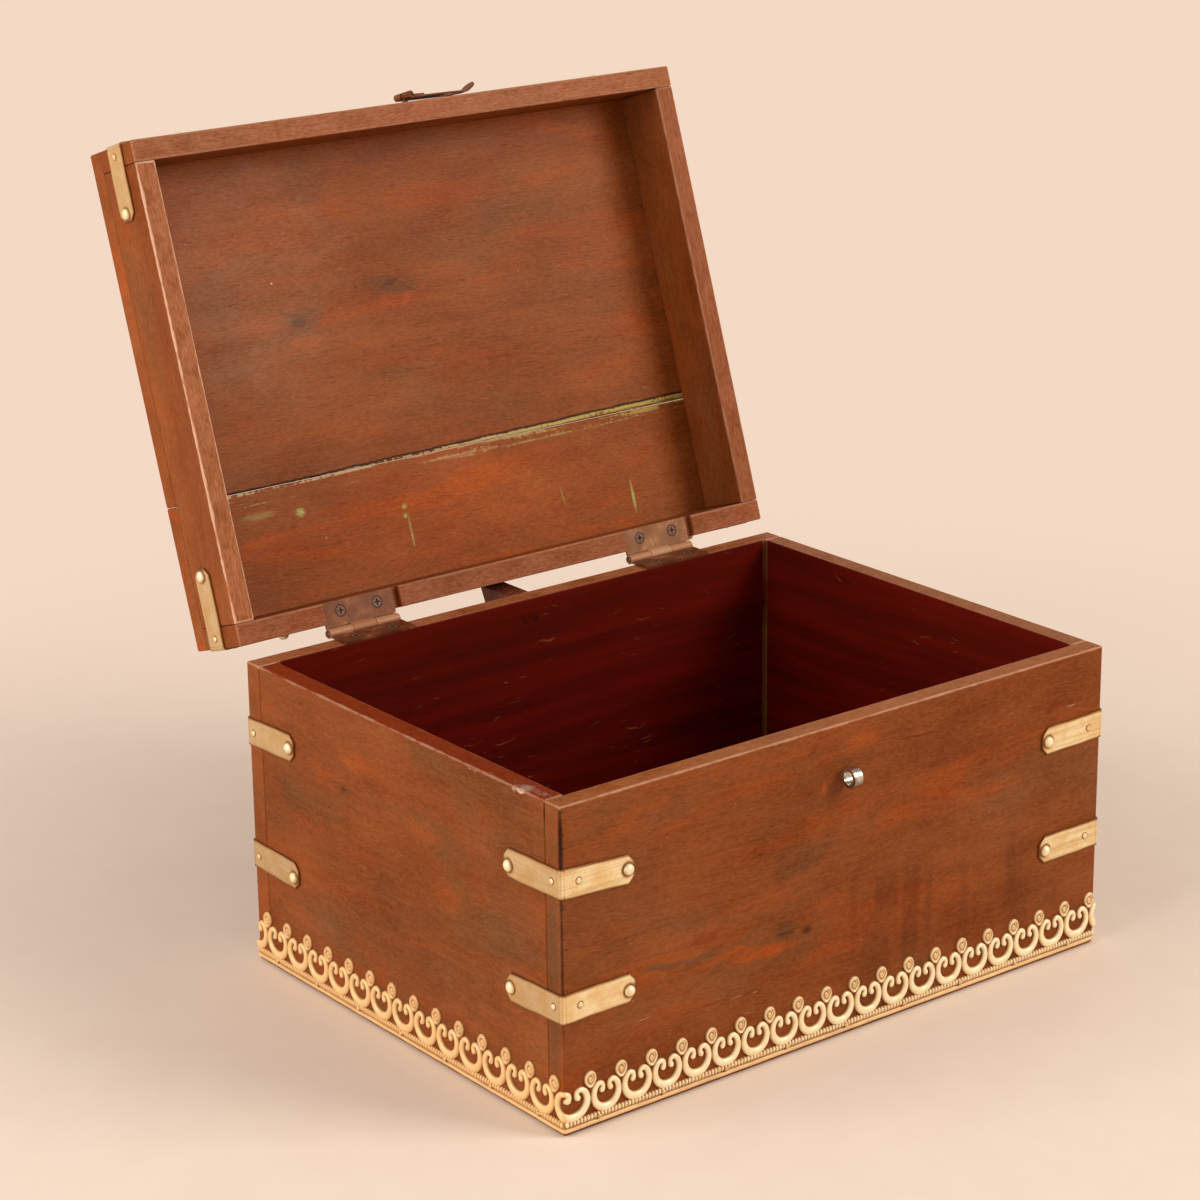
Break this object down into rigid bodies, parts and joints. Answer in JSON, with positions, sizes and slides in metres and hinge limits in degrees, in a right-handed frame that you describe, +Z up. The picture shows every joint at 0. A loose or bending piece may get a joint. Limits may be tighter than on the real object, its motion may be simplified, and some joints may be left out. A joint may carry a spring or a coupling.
{
  "type": "wooden storage box",
  "caption": "Lidded wooden storage box with bent brass corner straps, a pierced brass foot strip, butt hinges, a rear stop block for the open lid, and a swivelling hasp over a front staple.",
  "frame": {"origin": "on the bottom face, under the middle of the box", "axes": "+X along the width to the right, front towards -Y, +Z up"},
  "size_m": [0.3106, 0.3517, 0.3714],
  "materials": {
    "stained_wood": "satin stain and wax",
    "inside_wood": "dark stain",
    "stop_wood": "dark stain",
    "brass_strap": "aged brass",
    "brass_gallery": "aged stamped brass",
    "brass_nail": "aged brass",
    "iron_nail": "dull",
    "hinge_paint": "worn brown paint",
    "hinge_screw": "worn",
    "staple_steel": "worn bright",
    "hasp_paint": "brown paint"
  },
  "bodies": {
    "box": {"back_board": "stained_wood", "bottom_board": "inside_wood", "bottom_nails": "iron_nail", "box_dome_nails": "brass_nail", "box_strap_pins": "brass_nail", "front_board": "stained_wood", "front_staple": "staple_steel", "hinge_left_box_leaf": "hinge_paint", "hinge_left_pin": "hinge_paint", "hinge_right_box_leaf": "hinge_paint", "hinge_right_pin": "hinge_paint", "hinge_screws_box": "hinge_screw", "left_end_board": "stained_wood", "lid_stop_block": "stop_wood", "right_end_board": "stained_wood", "stop_nails": "iron_nail", "strap_lower_back_left": "brass_strap", "strap_lower_back_right": "brass_strap", "strap_lower_front_left": "brass_strap", "strap_lower_front_right": "brass_strap", "strap_upper_back_left": "brass_strap", "strap_upper_back_right": "brass_strap", "strap_upper_front_left": "brass_strap", "strap_upper_front_right": "brass_strap", "trim_back": "brass_gallery", "trim_front": "brass_gallery", "trim_left": "brass_gallery", "trim_pins": "brass_nail", "trim_right": "brass_gallery"},
    "lid": {"hinge_left_lid_leaf": "hinge_paint", "hinge_right_lid_leaf": "hinge_paint", "hinge_screws_lid": "hinge_screw", "lid_back_rail": "stained_wood", "lid_dome_nails": "brass_nail", "lid_front_rail": "stained_wood", "lid_left_rail": "stained_wood", "lid_right_rail": "stained_wood", "lid_strap_pins": "brass_nail", "lid_top_nails": "iron_nail", "lid_top_narrow": "stained_wood", "lid_top_wide": "stained_wood", "strap_lid_back_left": "brass_strap", "strap_lid_back_right": "brass_strap", "strap_lid_front_left": "brass_strap", "strap_lid_front_right": "brass_strap"},
    "hasp_swivel": {"hasp_swivel_pin": "hasp_paint"},
    "hasp": {"hasp_strap": "hasp_paint"}
  },
  "joints": [
    {"name": "lid_hinge", "type": "hinge", "parent": "box", "child": "lid", "pos_m": [0, 0.1185, 0.1448], "axis": [1, 0, 0], "range_deg": [0, 108.4]},
    {"name": "hasp_swing", "type": "hinge", "parent": "lid", "child": "hasp_swivel", "pos_m": [-0.002, 0.19673, 0.3676], "axis": [0, -0.3156, -0.9489], "range_deg": [0, 98]},
    {"name": "hasp_lift", "type": "hinge", "parent": "hasp_swivel", "child": "hasp", "pos_m": [-0.002, 0.19673, 0.3676], "axis": [0.1392, -0.9396, 0.3126], "range_deg": [0, 90]}
  ]
}
